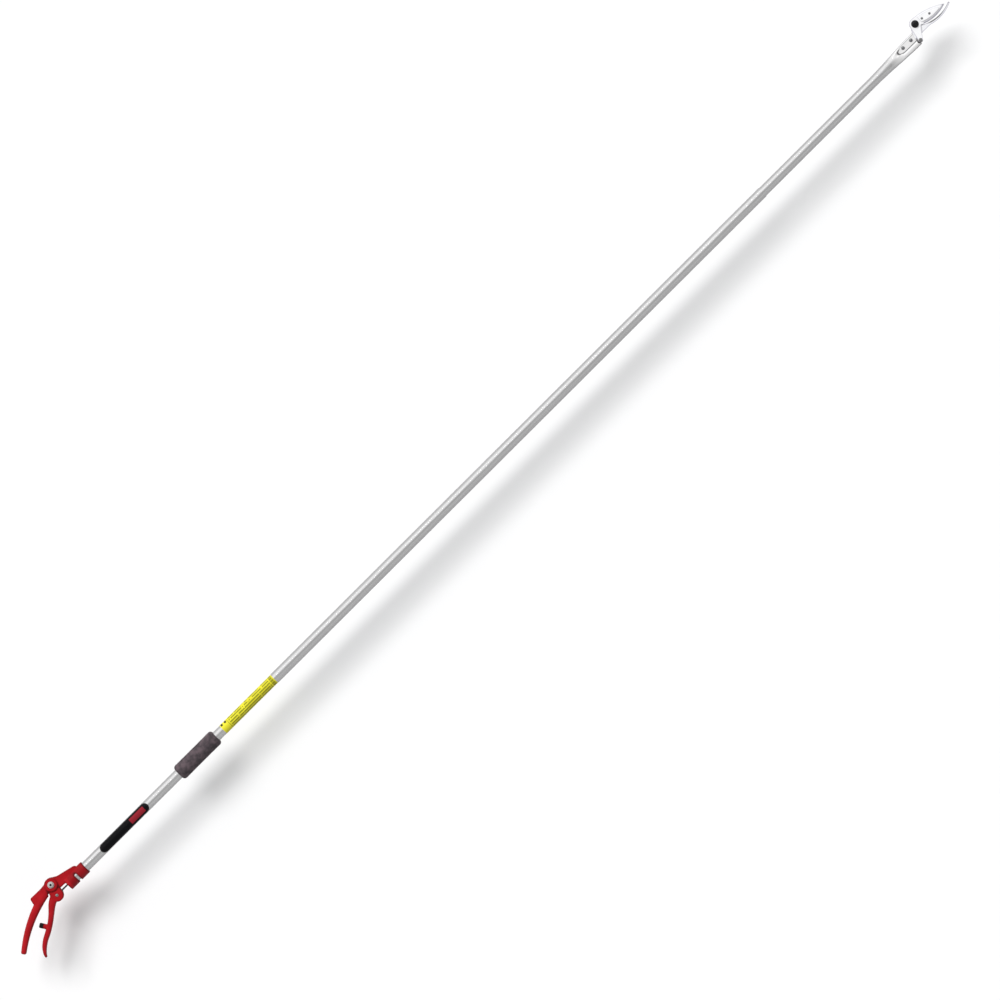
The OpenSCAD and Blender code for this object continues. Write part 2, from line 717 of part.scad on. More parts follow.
// Foam discs that keep the rod off the tube walls
guide_from = collar_at + 60;
guide_to = rod_front - 90;
module rod_guides() {
    color([0.15, 0.15, 0.16]) for (i = [0:guide_count - 1]) {
        x = lerp(guide_from, guide_to, i / (guide_count - 1));
        difference() {
            translate([x, 0, 0]) rotate([0, 90, 0]) rotate_extrude() polygon([[0, -guide_t / 2],
                [guide_d / 2 - 1.5, -guide_t / 2], [guide_d / 2, -guide_t / 2 + 1.5],
                [guide_d / 2, guide_t / 2 - 1.5], [guide_d / 2 - 1.5, guide_t / 2], [0, guide_t / 2]]);
            rod_along(x - guide_t, x + guide_t, rod_d / 2);
        }
    }
}

// Threaded sleeve that joins the rod to the bent link
coupler_across = 8;
coupler_r = 4.4;
module rod_coupler() {
    color(steel) difference() {
        intersection() {
            translate([rod_front - coupler_len / 2, 0, 0]) rotate([0, 90, 0])
                hex_prism(coupler_across, coupler_len);
            rod_along(rod_front - coupler_len / 2, rod_front + coupler_len / 2, coupler_r);
        }
        rod_along(rod_front - coupler_len, rod_front, rod_d / 2);
        rod_along(rod_front, rod_front + coupler_len, link_d / 2);
    }
}

// Bent link from the coupler, through the channel, to the blade's tang. The
// bend is a hair thinner than the straight ends that it runs into
head_eye_r = 5.5;
link_sides = 16;
link_bend_part = 0.98;
bend_steps = 6;
bend_lap = 4;
bend_turns = [for (i = [0:bend_steps]) bend_a * i / bend_steps];
link_line = concat([[link_bend_from - bend_lap, 0, 0]],
    [for (a = bend_turns) [link_bend_from + bend_r * sin(a), bend_r * (cos(a) - 1), -a]],
    [for (i = [bend_steps - 1:-1:0]) let (a = bend_turns[i])
        [link_bend_end - bend_r * sin(a), bend_r * (1 - cos(a)) - drop, -a]],
    [[link_bend_end + bend_lap, -drop, 0]]);
module head_link() {
    color(steel) difference() {
        union() {
            rod_along(rod_front, link_bend_from, link_d / 2);
            skin([for (p = link_line) [for (j = [0:link_sides - 1])
                let (b = 360 * j / link_sides, q = link_bend_part * link_d / 2)
                [p.x - q * cos(b) * sin(p[2]), p.y + q * cos(b) * cos(p[2]), q * sin(b)]]]);
            translate([0, -drop, 0]) rod_along(link_bend_end, tang_at.x - head_eye_r + 1.5, link_d / 2);
            translate([tang_at.x, tang_at.y, 0]) plate(-plate_top, plate_top) circle(head_eye_r);
        }
        translate([tang_at.x, tang_at.y, 0]) plate(-plate_t, plate_t) circle(pin_r + pin_fit);
        // Flats where the link is forged into the eye
        for (m = [0, 1]) mirror([0, 0, m])
            translate([tang_at.x - head_eye_r - 1, tang_at.y - link_d, plate_top])
                cube([head_eye_r * 2, 2 * link_d, link_d]);
    }
}

// ---- Head ----

rivet_y = (panel_y[0] + bead_y) / 2;
rivet_head_r = 4.4;
rivet_head_h = 1.7;
rivet_x = [tube_end - rivet_edge, tube_end - rivet_edge - rivet_pitch];

// Bracket in plan from the blade pivot: the tongue, the boss and the hook,
// whose two edges are arcs about these centres
hook_in_at = [54.5, hook_in_r - 24.2];
hook_out_at = [51, hook_out_r - 29.8];
hook_steps = 32;
hook_half_w = 3;
hook_tip_back = 1.2;
tongue_gap = 0.7;
tongue_low = panel_y[0] + slim_wall + tongue_gap - head_off;
tongue_high = end_w / 2 - slim_wall - tongue_gap - head_off;
tongue_back = press_y(1, tube_end - tongue_len, slim_wall) - tongue_gap - head_off;

// Inner and outer point of the hook on a ray from the inner edge's centre
function hook_ray(a) = let (way = [cos(a), sin(a)], d = hook_in_at - hook_out_at, m = d * way)
    [hook_in_at + hook_in_r * way, hook_in_at + (sqrt(m * m - d * d + hook_out_r * hook_out_r) - m) * way];
hook_tip_a = asin((hook_reach - hook_in_at.x) / (hook_in_r + hook_half_w)) - 90 - hook_tip_back;
hook_tip = hook_ray(hook_tip_a);
hook_root_a = -117;
hook_low_x = hook_out_at.x - sqrt(hook_out_r * hook_out_r - pow(tongue_low - hook_out_at.y, 2));
hook_low_a = atan2(tongue_low - hook_in_at.y, hook_low_x - hook_in_at.x);
hook_tip_mid = (hook_tip[0] + hook_tip[1]) / 2;
hook_tip_r = norm(hook_tip[1] - hook_tip[0]) / 2;
bracket_outline = concat(
    [[-head_ahead - tongue_len, tongue_low], [-head_ahead - tongue_len, tongue_back],
     [-head_ahead - tongue_len / 2, tongue_high], [-head_ahead, tongue_high],
     boss_r * [-0.82, 0.3], boss_r * [0.6, -0.2], [boss_r - 0.6, -boss_r + 1.4]],
    [for (k = [0:hook_steps]) hook_ray(lerp(hook_root_a, hook_tip_a, k / hook_steps))[0]],
    [for (a = [150:-30:30]) hook_tip_mid + hook_tip_r * [cos(hook_tip_a + a), sin(hook_tip_a + a)]],
    [for (k = [0:hook_steps]) hook_ray(lerp(hook_tip_a, hook_low_a, k / hook_steps))[1]]);

module head_bracket() {
    color(silver) at_head() difference() {
        union() {
            plate(-plate_top, plate_top) polygon(bracket_outline);
            plate(-plate_top, plate_top) circle(boss_r);
        }
        plate(-plate_t, plate_t) circle(bolt_r + tube_fit);
        translate([-head_pivot.x, -head_pivot.y, 0]) for (x = rivet_x)
            translate([x, rivet_y, -plate_t]) cylinder(h = 2 * plate_t, r = rivet_d / 2);
    }
}

module bracket_rivets() {
    grip = web_half + slim_wall;
    color(steel) for (x = rivet_x) translate([x, rivet_y, 0]) {
        translate([0, 0, -grip]) cylinder(h = 2 * grip, r = rivet_d / 2);
        for (m = [0, 1]) mirror([0, 0, m]) translate([0, 0, grip]) dome_head(rivet_head_r, rivet_head_h);
    }
}

// Plan of the blade: the overlap of two discs, the boss and the tang. The
// cutting edge is the hook's inner edge moved out by the bypass and turned
// open
edge_r = hook_in_r + bypass;
edge_at = turn(hook_in_at, head_turn);
tang_r = 5;
back_r = 150;
blade_tip = turn([blade_reach * cos(16.3), -blade_reach * sin(16.3)], head_turn);
back_chord = blade_tip - [-2, boss_r];
back_at = (blade_tip + [-2, boss_r]) / 2 + sqrt(back_r * back_r - back_chord * back_chord / 4)
    * [back_chord.y, -back_chord.x] / norm(back_chord);

module blade_2d() {
    circle(boss_r);
    link_2d(tang_at - head_pivot, boss_r, tang_r);
    intersection() {
        translate(edge_at) circle(edge_r, $fn = 128);
        translate(back_at) circle(back_r, $fn = 128);
        translate([0, -60]) square([blade_reach + 20, 90]);
    }
}

module cutting_blade() {
    heel = atan2(-14 - edge_at.y, 16 - edge_at.x);
    tip = atan2(blade_tip.y - edge_at.y, blade_tip.x - edge_at.x);
    color([0.86, 0.87, 0.9]) at_head() difference() {
        plate(blade_low, blade_top) blade_2d();
        plate(blade_low - 1, blade_top + 1) circle(bolt_r + pin_fit);
        translate([tang_at.x - head_pivot.x, tang_at.y - head_pivot.y, 0])
            plate(blade_low - 1, blade_top + 1) circle(pin_r);
        // Ground bevel along the cutting edge
        translate([edge_at.x, edge_at.y, 0]) rotate([0, 0, heel])
            rotate_extrude(angle = tip - heel + 8, $fn = 128)
            polygon([[edge_r - bevel_w, blade_top + 0.01], [edge_r + 1, blade_top + 0.01],
                [edge_r + 1, blade_low + 0.3], [edge_r, blade_low + 0.3]]);
        for (p = hold_rivet_at) translate([p.x, p.y, 0])
            plate(blade_low - 1, blade_top + 1) circle(hold_rivet_r);
    }
}

// Holding plate on the blade, with teeth along the edge that grips the stem
hold_rivet_r = 1.6;
hold_edge_r = edge_r - bevel_w - 0.6;
hold_rivet_at = [[20, -2], [40, -6]];
module hold_plate() {
    heel = atan2(-12 - edge_at.y, 20 - edge_at.x);
    tip = atan2(-16 - edge_at.y, 62 - edge_at.x);
    color([0.78, 0.76, 0.84]) at_head() plate(blade_top, hold_top) difference() {
        intersection() {
            translate(edge_at) circle(hold_edge_r, $fn = 128);
            translate(back_at) circle(back_r - 4, $fn = 128);
            translate([boss_r + 0.8, -40]) square([50, 60]);
        }
        for (i = [0:tooth_count - 1]) let (a = lerp(heel, tip, i / (tooth_count - 1)))
            translate(edge_at + hold_edge_r * [cos(a), sin(a)]) rotate(a) circle(1.1, $fn = 4);
        for (p = hold_rivet_at) translate(p) circle(hold_rivet_r);
    }
}

module hold_rivets() {
    color(steel) at_head() for (p = hold_rivet_at) translate([p.x, p.y, 0]) {
        plate(blade_low, hold_top) circle(hold_rivet_r);
        translate([0, 0, hold_top]) dome_head(hold_rivet_r * 1.8, 1);
    }
}

// Clevis pin through the blade's tang and the link's eye, headed on the side
// that runs inside the channel
module tang_pin() {
    color(steel) translate([tang_at.x, tang_at.y, 0]) mirror([0, 0, 1])
        grooved_pin(-blade_top, plate_top + side_gap);
}

module tang_pin_clip() {
    color(steel) translate([tang_at.x, tang_at.y, blade_top])
        rotate([0, 0, 250]) clip_ring(pin_r - groove_deep, pin_r + clip_lip, clip_t);
}

// Black flanged bolt that the blade turns on
flange_r = 8.2;
flange_t = 1.6;
head_washer_t = 1;
module head_washer() {
    color(steel) at_head() translate([0, 0, blade_top + shear_gap]) difference() {
        cylinder(h = head_washer_t, r = flange_r + 0.6);
        translate([0, 0, -1]) cylinder(h = head_washer_t + 2, r = bolt_r + tube_fit);
    }
}

module head_bolt() {
    top = blade_top + shear_gap + head_washer_t;
    color(dark) at_head() {
        translate([0, 0, -plate_top - thread_out - nut_h])
            cylinder(h = top + plate_top + thread_out + nut_h, r = bolt_r);
        translate([0, 0, top]) rotate_extrude() polygon([[0, 0], [flange_r, 0], [flange_r, 0.9],
            [flange_r - 1.4, flange_t], [0, flange_t]]);
        translate([0, 0, top + flange_t]) intersection() {
            hex_prism(12, 4.4);
            translate([0, 0, -8]) sphere(r = 12.6);
        }
    }
}

module head_nut() {
    color(dark) at_head() mirror([0, 0, 1]) translate([0, 0, plate_top]) lock_nut(bolt_r, nut_across, nut_h);
}

handle_frame();
trigger_lever();
lever_bumper();
pivot_bush();
pivot_bolt();
pivot_washers();
pivot_nut();
rod_pin();
rod_pin_clip();
socket_screw();
lower_tube();
main_tube();
upper_tube();
name_label();
foam_grip();
yellow_band();
spring_seat();
return_spring();
spring_collar();
pull_rod();
handle_rod_eye();
rod_guides();
rod_coupler();
head_link();
head_bracket();
bracket_rivets();
cutting_blade();
hold_plate();
hold_rivets();
tang_pin();
tang_pin_clip();
head_bolt();
head_washer();
head_nut();
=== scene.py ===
# Looks for the long-reach pruner: camera, light, castings, grip and finishes,
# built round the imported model. Everything is in metres, +X along the pole to
# the cutting head, +Z out of the side that the bolt heads are on.

import bpy
import math
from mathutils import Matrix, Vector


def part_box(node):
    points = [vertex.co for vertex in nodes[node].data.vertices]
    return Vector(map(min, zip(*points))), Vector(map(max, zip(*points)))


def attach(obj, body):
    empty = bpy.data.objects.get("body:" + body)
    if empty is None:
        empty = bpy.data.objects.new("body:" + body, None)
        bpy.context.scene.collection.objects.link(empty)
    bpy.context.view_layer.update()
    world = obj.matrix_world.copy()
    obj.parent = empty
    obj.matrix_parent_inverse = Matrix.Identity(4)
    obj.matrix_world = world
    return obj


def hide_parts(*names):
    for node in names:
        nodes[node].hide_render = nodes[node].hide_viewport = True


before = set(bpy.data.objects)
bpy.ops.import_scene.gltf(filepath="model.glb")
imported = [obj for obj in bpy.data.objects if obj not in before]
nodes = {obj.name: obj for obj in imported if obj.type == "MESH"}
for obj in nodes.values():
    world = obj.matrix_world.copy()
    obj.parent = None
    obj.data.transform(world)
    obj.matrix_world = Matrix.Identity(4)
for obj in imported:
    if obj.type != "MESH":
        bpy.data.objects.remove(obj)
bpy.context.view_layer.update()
bpy.ops.object.select_all(action="DESELECT")


# ---- Camera ----
# The tool lies flat in the picture, seen square on from the bolt-head side,
# with the pole rising to the right at a little under 45 degrees.

picture_centre = (-0.1332, -0.0743)
picture_width = 2.265
pole_rise = math.radians(44.9)
camera_data = bpy.data.cameras.new("camera")
camera_data.type = "PERSP"
camera_data.lens = 200
camera_data.sensor_width = 36
camera_data.clip_end = 300
camera = bpy.data.objects.new("camera", camera_data)
camera.location = (*picture_centre, picture_width * camera_data.lens / camera_data.sensor_width)
camera.rotation_euler = (0, 0, -pole_rise)
bpy.context.scene.collection.objects.link(camera)
bpy.context.scene.camera = camera
bpy.context.scene.view_settings.view_transform = "Standard"


# ---- Floor and light ----
# A plain white floor a hand's width below the tool, one broad soft light from
# the upper left of the picture, which throws a wide pale shadow, and a pale
# grey studio that is brighter on the light's side and plain grey below.
# Bright metal mirrors the studio only, and neither the lamp nor the floor.

floor_drop = 0.112
floor_half = 80
floor_tone = 0.93
bpy.ops.mesh.primitive_plane_add(size=2 * floor_half, location=(0, 0, -floor_drop))
floor = bpy.context.object
floor.name = "floor"
floor_white = bpy.data.materials.new("floor_white")
floor_white.use_nodes = True
floor_shader = floor_white.node_tree.nodes["Principled BSDF"]
floor_shader.inputs["Base Color"].default_value = (floor_tone, floor_tone, floor_tone, 1)
floor_shader.inputs["Roughness"].default_value = 0.9
floor_shader.inputs["Specular IOR Level"].default_value = 0.1
floor.data.materials.append(floor_white)
floor.visible_glossy = False

lamp_strength = 2.28
lamp_spread = math.radians(27)
lamp_tilt = math.radians(-36)
lamp_data = bpy.data.lights.new("soft_light", "SUN")
lamp_data.energy = lamp_strength
lamp_data.angle = lamp_spread
lamp = bpy.data.objects.new("soft_light", lamp_data)
lamp.rotation_euler = (lamp_tilt, 0, 0)
lamp.visible_glossy = False
bpy.context.scene.collection.objects.link(lamp)

# How bright the studio is from the far side of the pole, 0, to the light's
# side, 1, and below the horizon.
glow_places = (0.20, 0.34, 0.53, 0.74, 0.93, 1.0)
glow_levels = (0.42, 0.28, 0.28, 0.95, 0.92, 0.50)
studio_below = 0.40
horizon_low, horizon_high = -0.04, 0.06
studio = bpy.data.worlds.new("studio")
bpy.context.scene.world = studio
studio.use_nodes = True
studio_tree = studio.node_tree
studio_light = studio_tree.nodes["Background"]
studio_light.inputs["Color"].default_value = (0.985, 0.99, 1.0, 1)
direction = studio_tree.nodes.new("ShaderNodeTexCoord")
direction_parts = studio_tree.nodes.new("ShaderNodeSeparateXYZ")
studio_side = studio_tree.nodes.new("ShaderNodeMapRange")
studio_side.inputs["From Min"].default_value = -1
glow_ramp = studio_tree.nodes.new("ShaderNodeValToRGB")
glow_steps = glow_ramp.color_ramp.elements
glow_steps[0].position, glow_steps[1].position = glow_places[0], glow_places[-1]
for place in glow_places[1:-1]:
    glow_steps.new(place)
for glow_step, level in zip(glow_steps, glow_levels):
    glow_step.color = (level, level, level, 1)
horizon = studio_tree.nodes.new("ShaderNodeMapRange")
horizon.inputs["From Min"].default_value = horizon_low
horizon.inputs["From Max"].default_value = horizon_high
glow_mix = studio_tree.nodes.new("ShaderNodeMix")
glow_mix.inputs["A"].default_value = studio_below
studio_tree.links.new(direction.outputs["Generated"], direction_parts.inputs["Vector"])
studio_tree.links.new(direction_parts.outputs["Y"], studio_side.inputs["Value"])
studio_tree.links.new(studio_side.outputs["Result"], glow_ramp.inputs["Fac"])
studio_tree.links.new(direction_parts.outputs["Z"], horizon.inputs["Value"])
studio_tree.links.new(horizon.outputs["Result"], glow_mix.inputs["Factor"])
studio_tree.links.new(glow_ramp.outputs["Color"], glow_mix.inputs["B"])
studio_tree.links.new(glow_mix.outputs["Result"], studio_light.inputs["Strength"])


# ---- Red handle castings ----
# The fixed frame with its rear grip, and the finger lever: aluminium castings
# with soft edges under a red powder coat, which pools into a fine orange peel,
# with painted shade darkening the edges, and a parting line at mid height.

def new_finish(name, colour, metallic, roughness):
    """A material, its node tree and its shader."""
    finish = bpy.data.materials.new(name)
    finish.use_nodes = True
    tree = finish.node_tree
    shader = tree.nodes["Principled BSDF"]
    shader.inputs["Base Color"].default_value = (*colour, 1)
    shader.inputs["Metallic"].default_value = metallic
    shader.inputs["Roughness"].default_value = roughness
    return finish, tree, shader


def grain(tree, scale, detail=3.0, stretch=(1, 1, 1)):
    """Noise on the piece's own coordinates, finer along the axes with more stretch."""
    place = tree.nodes.new("ShaderNodeTexCoord")
    fit = tree.nodes.new("ShaderNodeMapping")
    fit.inputs["Scale"].default_value = stretch
    noise = tree.nodes.new("ShaderNodeTexNoise")
    noise.inputs["Scale"].default_value = scale
    noise.inputs["Detail"].default_value = detail
    tree.links.new(place.outputs["Object"], fit.inputs["Vector"])
    tree.links.new(fit.outputs["Vector"], noise.inputs["Vector"])
    return noise.outputs["Fac"]


def two_tone(tree, pattern, low, high, dark_colour, light_colour):
    """Colours a surface from one tone to another as a pattern rises from low to high."""
    ramp = tree.nodes.new("ShaderNodeValToRGB")
    ramp.color_ramp.elements[0].position = low
    ramp.color_ramp.elements[0].color = (*dark_colour, 1)
    ramp.color_ramp.elements[1].position = high
    ramp.color_ramp.elements[1].color = (*light_colour, 1)
    tree.links.new(pattern, ramp.inputs["Fac"])
    return ramp.outputs["Color"]


def rises(tree, pattern, low, high, out_low, out_high):
    """A value that follows a pattern between two limits."""
    span = tree.nodes.new("ShaderNodeMapRange")
    limits = {"From Min": low, "From Max": high, "To Min": out_low, "To Max": out_high}
    for socket, value in limits.items():
        span.inputs[socket].default_value = value
    tree.links.new(pattern, span.inputs["Value"])
    return span.outputs["Result"]


def dents(tree, shader, pattern, depth, strength=1.0):
    """Surface relief of a real depth in metres."""
    bump = tree.nodes.new("ShaderNodeBump")
    bump.inputs["Distance"].default_value = depth
    bump.inputs["Strength"].default_value = strength
    tree.links.new(pattern, bump.inputs["Height"])
    tree.links.new(bump.outputs["Normal"], shader.inputs["Normal"])


def coloured(tree, shader, tone):
    """Gives a surface its colour from a pattern."""
    tree.links.new(tone, shader.inputs["Base Color"])


def uneven_gloss(tree, shader, pattern, smooth, rough):
    """Lets a surface go from smoother to rougher as a pattern rises from 0.3 to 0.7."""
    tree.links.new(rises(tree, pattern, 0.3, 0.7, smooth, rough), shader.inputs["Roughness"])


def finish_nodes(finish, *names):
    """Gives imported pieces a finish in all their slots."""
    for name in names:
        for place in range(len(nodes[name].data.materials)):
            nodes[name].data.materials[place] = finish


def arithmetic(tree, step, *values):
    """One step of arithmetic on numbers and patterns."""
    step_node = tree.nodes.new("ShaderNodeMath")
    step_node.operation = step
    for socket, value in zip(step_node.inputs, values):
        if isinstance(value, (int, float)):
            socket.default_value = value
        else:
            tree.links.new(value, socket)
    return step_node.outputs[0]


def piece_axes(tree):
    """The piece's own x, y and z in metres."""
    place = tree.nodes.new("ShaderNodeTexCoord")
    split = tree.nodes.new("ShaderNodeSeparateXYZ")
    tree.links.new(place.outputs["Object"], split.inputs["Vector"])
    return split.outputs["X"], split.outputs["Y"], split.outputs["Z"]


def over(tree, mask, under, top_colour):
    """Prints a colour over another where the mask is 1."""
    mix = tree.nodes.new("ShaderNodeMix")
    mix.data_type = "RGBA"
    tree.links.new(mask, mix.inputs["Factor"])
    if isinstance(under, tuple):
        mix.inputs["A"].default_value = (*under, 1)
    else:
        tree.links.new(under, mix.inputs["A"])
    mix.inputs["B"].default_value = (*top_colour, 1)
    return mix.outputs["Result"]


def toward_edges(tree, reach):
    """Rises from 0 on open faces to 1 at the outer edges of a solid."""
    room = tree.nodes.new("ShaderNodeAmbientOcclusion")
    room.inside = True
    room.only_local = True
    room.samples = 8
    room.inputs["Distance"].default_value = reach
    return rises(tree, room.outputs["AO"], 0.5, 0.96, 1.0, 0.0)


red_shade_reach = 0.004
line_half = 0.0002
red_coat, red_tree, red_shader = new_finish("red_powder_coat", (0.40, 0.006, 0.010), 0.0, 0.45)
red_shader.inputs["Specular IOR Level"].default_value = 0.2
red_patches = grain(red_tree, 45)
red_tone = two_tone(red_tree, red_patches, 0.3, 0.72, (0.34, 0.004, 0.008), (0.43, 0.008, 0.013))
# Painted shade: the outer edges of the red castings are painted a deep dark red.
red_tone = over(red_tree, toward_edges(red_tree, red_shade_reach), red_tone, (0.11, 0.002, 0.004))
coloured(red_tree, red_shader, red_tone)
uneven_gloss(red_tree, red_shader, red_patches, 0.38, 0.5)
red_height = arithmetic(red_tree, "ABSOLUTE", piece_axes(red_tree)[2])
parting_line = rises(red_tree, red_height, line_half, 3 * line_half, 1.2, 0.0)
orange_peel = grain(red_tree, 620, 2)
dents(red_tree, red_shader, arithmetic(red_tree, "ADD", parting_line, orange_peel), 0.00025, 0.5)

weld_gap = 0.000002
soft_rounds = 4


def soft_casting(node, name, body, grid):
    """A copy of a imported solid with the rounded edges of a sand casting."""
    casting = bpy.data.objects.new(name, nodes[node].data.copy())
    bpy.context.scene.collection.objects.link(casting)
    bpy.ops.object.select_all(action="DESELECT")
    casting.select_set(True)
    bpy.context.view_layer.objects.active = casting
    bpy.ops.object.mode_set(mode="EDIT")
    bpy.ops.mesh.select_all(action="SELECT")
    bpy.ops.mesh.remove_doubles(threshold=weld_gap)
    bpy.ops.object.mode_set(mode="OBJECT")
    skin = casting.modifiers.new("even_skin", "REMESH")
    skin.mode = "VOXEL"
    skin.voxel_size = grid
    bpy.ops.object.modifier_apply(modifier=skin.name)
    soften = casting.modifiers.new("soft_edges", "SMOOTH")
    soften.factor = 0.5
    soften.iterations = soft_rounds
    bpy.ops.object.modifier_apply(modifier=soften.name)
    bpy.ops.object.shade_smooth()
    casting.data.materials.clear()
    casting.data.materials.append(red_coat)
    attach(casting, body)
    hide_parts(node)


soft_casting("handle_frame", "frame_casting", "pole", 0.0008)
soft_casting("trigger_lever", "lever_casting", "lever", 0.0007)


# ---- Foam grip ----
# A thick sleeve of closed-cell foam, pushed on over the lower tube, with
# rounded ends, a slight waist where it is held and a mottled mauve-grey skin.

foam_low, foam_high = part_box("foam_grip")
foam_squeeze = 0.0011
foam_r = (foam_high.y - foam_low.y) / 2 - foam_squeeze
foam_bore_r = 0.01205
foam_round = 0.0068
foam_rings = 24
foam_waist = 0.985
foam_len = foam_high.x - foam_low.x
foam_mid = ((foam_high.x + foam_low.x) / 2, 0, 0)
ring_pitch = (foam_len - 2 * foam_round) / foam_rings
bpy.ops.object.select_all(action="DESELECT")
bpy.ops.mesh.primitive_cylinder_add(vertices=72, radius=foam_r, depth=foam_len, end_fill_type="NGON",
                                    location=foam_mid, rotation=(0, math.pi / 2, 0))
foam = bpy.context.object
foam.name = "foam_sleeve"
bpy.ops.object.transform_apply(location=True, rotation=True, scale=True)
bpy.ops.object.mode_set(mode="EDIT")
bpy.ops.mesh.select_all(action="DESELECT")
bpy.ops.object.mode_set(mode="OBJECT")
for face in foam.data.polygons:
    face.select = abs(face.normal.x) > 0.9
bpy.ops.object.mode_set(mode="EDIT")
bpy.ops.mesh.select_mode(type="FACE")
bpy.ops.mesh.bevel(offset=foam_round, segments=7, affect="EDGES")
bpy.ops.mesh.select_all(action="DESELECT")
bpy.ops.object.mode_set(mode="OBJECT")
for face in foam.data.polygons:
    off_end = abs(abs(face.center.x - foam_mid[0]) - foam_len / 2)
    face.select = abs(face.normal.x) > 0.9 and off_end < 1e-5
bpy.ops.object.mode_set(mode="EDIT")
bpy.ops.mesh.inset(thickness=foam_r - foam_round - foam_bore_r, use_individual=True)
bpy.ops.mesh.bridge_edge_loops()
for ring in range(1, foam_rings):
    bpy.ops.mesh.select_all(action="SELECT")
    bpy.ops.mesh.bisect(plane_co=(foam_low.x + foam_round + ring * ring_pitch, 0, 0), plane_no=(1, 0, 0))
bpy.ops.mesh.select_all(action="SELECT")
bpy.ops.mesh.normals_make_consistent(inside=False)
bpy.ops.mesh.select_all(action="DESELECT")
bpy.ops.object.mode_set(mode="OBJECT")
for corner in foam.data.vertices:
    on_skin = math.hypot(corner.co.y, corner.co.z) > 0.015
    corner.select = abs(corner.co.x - foam_mid[0]) < 0.02 and on_skin
bpy.ops.object.mode_set(mode="EDIT")
bpy.ops.mesh.select_mode(type="VERT")
bpy.ops.transform.resize(value=(1, foam_waist, foam_waist), use_proportional_edit=True,
                         proportional_size=0.045, proportional_edit_falloff="SMOOTH",
                         use_proportional_connected=True)
bpy.ops.object.mode_set(mode="OBJECT")
foam_skin = foam.modifiers.new("finer", "SUBSURF")
foam_skin.levels = foam_skin.render_levels = 1
bpy.ops.object.modifier_apply(modifier=foam_skin.name)
foam_lumps = bpy.data.textures.new("foam_lumps", "CLOUDS")
foam_lumps.noise_scale = 0.011
foam_push = foam.modifiers.new("uneven", "DISPLACE")
foam_push.texture = foam_lumps
foam_push.strength = 0.0007
foam_push.mid_level = 0.75
bpy.ops.object.modifier_apply(modifier=foam_push.name)
bpy.ops.object.shade_smooth_by_angle(angle=math.radians(50))
foam_finish, foam_tree, foam_shader = new_finish("mauve_foam", (0.10, 0.08, 0.09), 0.0, 0.85)
foam_mottle = grain(foam_tree, 95, 4)
foam_tone = two_tone(foam_tree, foam_mottle, 0.35, 0.68, (0.052, 0.042, 0.048), (0.118, 0.087, 0.099))
coloured(foam_tree, foam_shader, foam_tone)
dents(foam_tree, foam_shader, grain(foam_tree, 750, 2), 0.0006, 0.8)
foam.data.materials.clear()
foam.data.materials.append(foam_finish)
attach(foam, "pole")
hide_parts("foam_grip")


# ---- Tubes ----
# Three drawn aluminium tubes, one inside the next, brushed lengthwise under
# clear anodising. The pressed end is a pale satin, with painted shade in its
# creases and down its flanks, from where the pressing starts.

def within(tree, value, low, high):
    """1 where a value lies between two limits, with no soft edge."""
    above = arithmetic(tree, "GREATER_THAN", value, low)
    return arithmetic(tree, "MULTIPLY", above,
                      arithmetic(tree, "LESS_THAN", value, high))


press_len = 0.085
press_fade = 0.03
press_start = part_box("upper_tube")[1].x - press_len
panel_floor, panel_rim = 0.0028, 0.0048
panel_low, panel_high = -0.0050, 0.0108
panel_start, panel_full = press_start + 0.016, press_start + 0.022
tube_finish, tube_tree, tube_shader = new_finish("drawn_aluminium", (0.85, 0.85, 0.85), 0.8, 0.2)
tube_streaks = grain(tube_tree, 1.0, 4, (14, 900, 900))
tube_x, tube_y, tube_z = piece_axes(tube_tree)
pressed = rises(tube_tree, tube_x, press_start, press_start + press_fade, 0.0, 1.0)
tube_tree.links.new(rises(tube_tree, pressed, 0.0, 1.0, 0.8, 0.12), tube_shader.inputs["Metallic"])
tube_out = arithmetic(tube_tree, "ABSOLUTE", tube_z)
# Painted shade: the creases of the pressed panel are painted near black.
crease_painted_shade = arithmetic(
    tube_tree, "MULTIPLY",
    rises(tube_tree, tube_out, panel_floor, panel_floor + 0.0003, 0.0, 1.0),
    rises(tube_tree, tube_out, panel_floor + 0.0008, panel_rim, 1.0, 0.0))
crease_painted_shade = arithmetic(tube_tree, "MULTIPLY", crease_painted_shade,
                         within(tube_tree, tube_y, panel_low, panel_high))
crease_painted_shade = arithmetic(tube_tree, "MULTIPLY", crease_painted_shade,
                         rises(tube_tree, tube_x, panel_start, panel_full, 0.0, 0.95))
tube_facing = tube_tree.nodes.new("ShaderNodeTexCoord")
tube_slope = tube_tree.nodes.new("ShaderNodeSeparateXYZ")
tube_tree.links.new(tube_facing.outputs["Normal"], tube_slope.inputs["Vector"])
tube_side = arithmetic(tube_tree, "ABSOLUTE", tube_slope.outputs["Y"])
# Painted shade: the steep flanks of the pressed end are painted a darker grey.
flank_painted_shade = arithmetic(tube_tree, "MULTIPLY", pressed, rises(tube_tree, tube_side, 0.55, 0.95, 0.0, 0.9))
tube_tone = two_tone(tube_tree, tube_streaks, 0.3, 0.7, (0.79, 0.78, 0.775), (0.90, 0.90, 0.90))
tube_tone = over(tube_tree, crease_painted_shade, tube_tone, (0.05, 0.048, 0.05))
tube_tone = over(tube_tree, flank_painted_shade, tube_tone, (0.22, 0.21, 0.215))
coloured(tube_tree, tube_shader, tube_tone)
tube_tree.links.new(rises(tube_tree, tube_streaks, 0.25, 0.75, 0.16, 0.26), tube_shader.inputs["Roughness"])
dents(tube_tree, tube_shader, tube_streaks, 0.00006, 0.4)
finish_nodes(tube_finish, "lower_tube", "main_tube", "upper_tube")


# ---- Name label ----
# A glossy black film with round ends, stuck lengthwise on the tube and left
# bare. It has a fine pale border and a plain red field towards the head.

